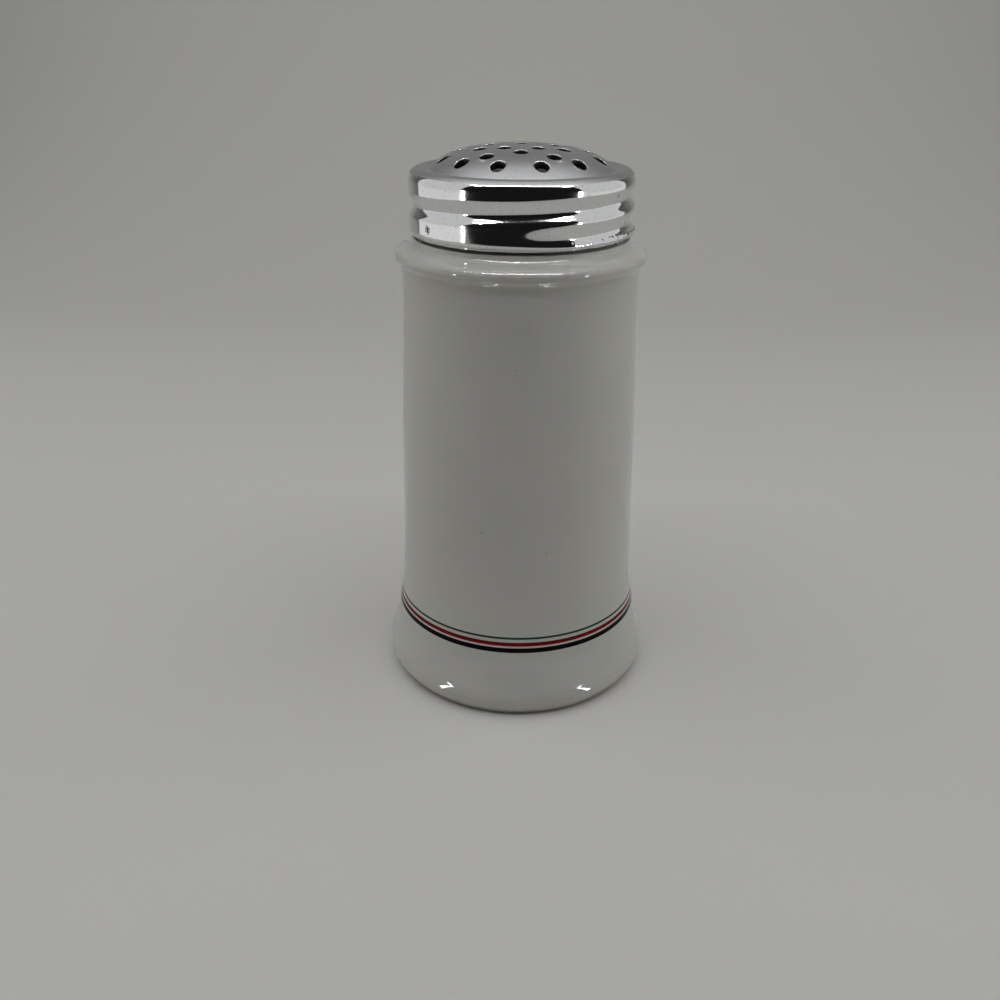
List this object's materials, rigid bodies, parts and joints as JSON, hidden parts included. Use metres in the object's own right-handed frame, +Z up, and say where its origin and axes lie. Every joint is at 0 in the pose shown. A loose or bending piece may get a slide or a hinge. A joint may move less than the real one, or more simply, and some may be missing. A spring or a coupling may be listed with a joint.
{
  "type": "table spice shaker",
  "caption": "Tall glazed china shaker with a flared foot, a rolled collar and colour bands, closed by a screw cap with a perforated dome.",
  "frame": {"origin": "centre of the foot, on the surface that the shaker stands on", "axes": "+Z up along the jar's axis; the side seen in the picture faces -Y, with +X to its right"},
  "size_m": [0.0772, 0.0772, 0.1495],
  "materials": {
    "glazed_china": "gloss",
    "green_overglaze": "gloss",
    "red_overglaze": "gloss",
    "black_overglaze": "gloss",
    "soft_washer": "matte",
    "plated_plastic": "polished"
  },
  "bodies": {
    "jar_body": {"jar": "glazed_china", "green_band": "green_overglaze", "red_band": "red_overglaze", "black_band": "black_overglaze"},
    "washer_body": {"sealing_washer": "soft_washer"},
    "cap_body": {"cap": "plated_plastic"}
  },
  "joints": [
    {"name": "cap_lift", "type": "slide", "parent": "jar_body", "child": "washer_body", "axis": [0, 0, 1], "range_m": [0, 0.0187]},
    {"name": "cap_turn", "type": "hinge", "parent": "washer_body", "child": "cap_body", "pos_m": [0, 0, 0.142], "axis": [0, 0, 1], "range_deg": [0, 1080]}
  ],
  "couplings": [
    {"joint": "cap_lift", "follows": "cap_turn", "m_per_rad": 0.00098676}
  ]
}
